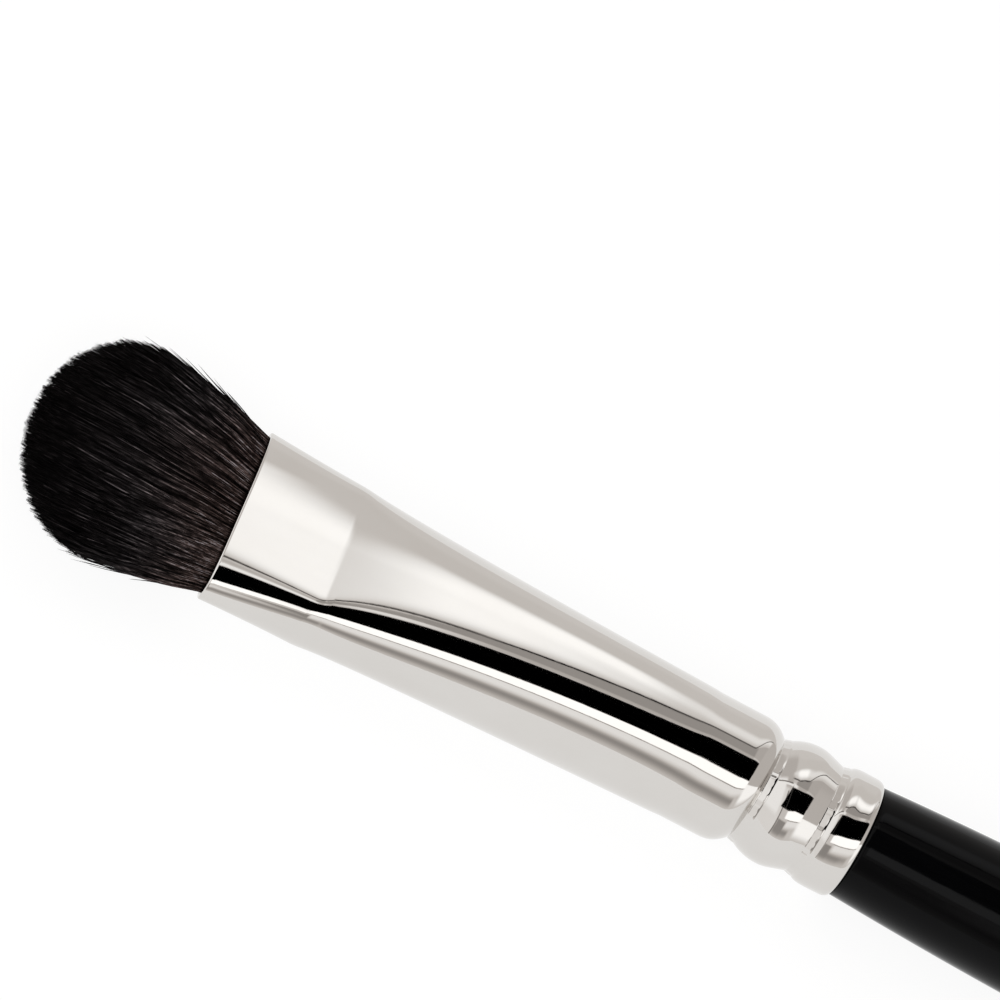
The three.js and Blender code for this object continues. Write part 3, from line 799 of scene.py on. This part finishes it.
def make_world():
    """Soft even light with the cards and softboxes that the metal shows. The camera sees white."""
    world = bpy.context.scene.world or bpy.data.worlds.new("studio")
    bpy.context.scene.world = world
    world.use_nodes = True
    graph = Graph(world.node_tree)
    direction = graph.node("ShaderNodeTexCoord").outputs["Generated"]
    x, y, z = graph.node("ShaderNodeSeparateXYZ", {"Vector": direction}).outputs
    about = graph.math("DEGREES", graph.math("ARCTAN2", z, graph.math("MULTIPLY", y, -1.0)))
    about = graph.math("WRAP", about, 270.0, -90.0)
    along = graph.math("DEGREES", graph.math("ARCSINE", x))
    ahead = graph.math("MAXIMUM", along, 0.0)
    level = STUDIO_LEVEL

    def past(value, edge):
        place, soft = edge[:2]
        return graph.step(value, place - soft, place + soft)

    def before(value, edge):
        place, soft = edge[:2]
        return graph.step(value, place - soft, place + soft, 1.0, 0.0)

    for card in CARDS:
        near = graph.math("SUBTRACT", about, graph.math("MULTIPLY", ahead, card.near[2]))
        far = graph.math("SUBTRACT", about, graph.math("MULTIPLY", along, card.far[2]))
        share = graph.math("MULTIPLY", past(near, card.near), before(far, card.far))
        share = graph.math("MULTIPLY", share, past(along, card.start))
        share = graph.math("MULTIPLY", share, before(along, card.end))
        level = graph.mix(share, level, card.level)
    tint = graph.blend(graph.step(level, WARM_LEVEL, WHITE_LEVEL), WARM, WHITE)
    camera_ray = graph.node("ShaderNodeLightPath").outputs["Is Camera Ray"]
    tint = graph.blend(camera_ray, tint, WHITE)
    level = graph.mix(camera_ray, level, 1.0)
    background = graph.node("ShaderNodeBackground", {"Color": tint, "Strength": level})
    graph.surface(background, "ShaderNodeOutputWorld")


def make_floor():
    """White floor: what the camera and the metal see glows a little, and the rest takes the shadow."""
    material, graph = new_material("white_floor")
    path = graph.node("ShaderNodeLightPath").outputs
    seen = graph.math("MAXIMUM", path["Is Camera Ray"], path["Is Glossy Ray"])
    seen = graph.math("MAXIMUM", seen, path["Is Transmission Ray"])
    paper = graph.noise(graph.stretched(FLOOR_GRAIN), detail=3.0)
    matt = graph.blend(paper, FLOOR_DULL, FLOOR_PALE)
    colour = graph.blend(seen, matt, FLOOR_SHADED)
    diffuse = graph.node("ShaderNodeBsdfDiffuse", {"Color": colour}).outputs[0]
    strength = graph.math("MULTIPLY", seen, FLOOR_GLOW)
    glow = graph.node("ShaderNodeEmission", {"Strength": strength}).outputs[0]
    graph.surface(graph.node("ShaderNodeAddShader", {0: diffuse, 1: glow}))
    half = FLOOR_SIZE / 2
    corners = np.array([[-half, -half, 0], [half, -half, 0], [half, half, 0], [-half, half, 0]])
    add_mesh("floor", corners, [[0, 1, 2, 3]], material)


def make_key_lamp():
    lamp = bpy.data.lights.new("key", "AREA")
    lamp.energy = KEY_POWER
    lamp.size = KEY_SIZE
    made = bpy.data.objects.new("key", lamp)
    made.location = KEY_PLACE
    made.rotation_euler = (-KEY_PLACE).to_track_quat("-Z", "Y").to_euler()
    made.visible_camera = False
    made.visible_glossy = False
    bpy.context.scene.collection.objects.link(made)


def make_camera():
    """The photograph's view: a long lens, rolled so that the brush runs down to the right."""
    level = math.cos(PITCH)
    back = Vector((math.sin(PITCH), -level * math.sin(ROLL), level * math.cos(ROLL)))
    axis = Vector((1, 0, 0))
    along = (axis - axis.dot(back) * back).normalized()
    across = along.cross(back)
    right = math.cos(AXIS_SLOPE) * along - math.sin(AXIS_SLOPE) * across
    up = -(math.sin(AXIS_SLOPE) * along + math.cos(AXIS_SLOPE) * across)
    target = Vector((MOUTH_X + CENTRE_PLACE, 0, AXIS_Z)) - CENTRE_ABOVE * across
    camera = bpy.data.cameras.new("camera")
    camera.sensor_width = SENSOR_WIDTH
    camera.lens = SENSOR_WIDTH * CAMERA_DISTANCE * PIXELS_PER_METRE / PHOTO_SIZE
    camera.clip_start = CAMERA_NEAR_CLIP
    made = bpy.data.objects.new("camera", camera)
    turned = Matrix((right, up, back)).transposed().to_4x4()
    made.matrix_world = Matrix.Translation(target + CAMERA_DISTANCE * back) @ turned
    bpy.context.scene.collection.objects.link(made)
    bpy.context.scene.camera = made


# The brush

bpy.context.scene.view_settings.view_transform = "Standard"
make_world()
make_floor()
make_key_lamp()
make_camera()

ferrule = ferrule_piece(nickel_material())
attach(ferrule, "root")
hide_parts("ferrule")

handle = handle_piece(lacquer_material())
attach(handle, "root")
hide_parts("handle")

brush_hair = hair_material()
for layer, node in enumerate(HAIR_NODES):
    hairs = hair_piece(layer, brush_hair)
    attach(hairs, "root")
    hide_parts(node)

inner_materials = {
    "root_binding": inner_material(
        "cotton_thread",
        pale=(0.78, 0.73, 0.64, 1),
        dark=(0.58, 0.52, 0.42, 1),
        grain=(0.4 * MM, 0.1 * MM, 0.1 * MM),
        roughness=0.75,
    ),
    "root_resin": inner_material(
        "amber_resin",
        pale=(0.42, 0.24, 0.08, 1),
        dark=(0.26, 0.13, 0.04, 1),
        grain=(1.5 * MM, 1.5 * MM, 1.5 * MM),
        roughness=0.2,
    ),
    "handle_glue": inner_material(
        "pale_glue",
        pale=(0.80, 0.76, 0.64, 1),
        dark=(0.68, 0.62, 0.48, 1),
        grain=(0.8 * MM, 0.8 * MM, 0.8 * MM),
        roughness=0.45,
    ),
}
for node, material in inner_materials.items():
    frame["nodes"][node].data.materials.clear()
    frame["nodes"][node].data.materials.append(material)
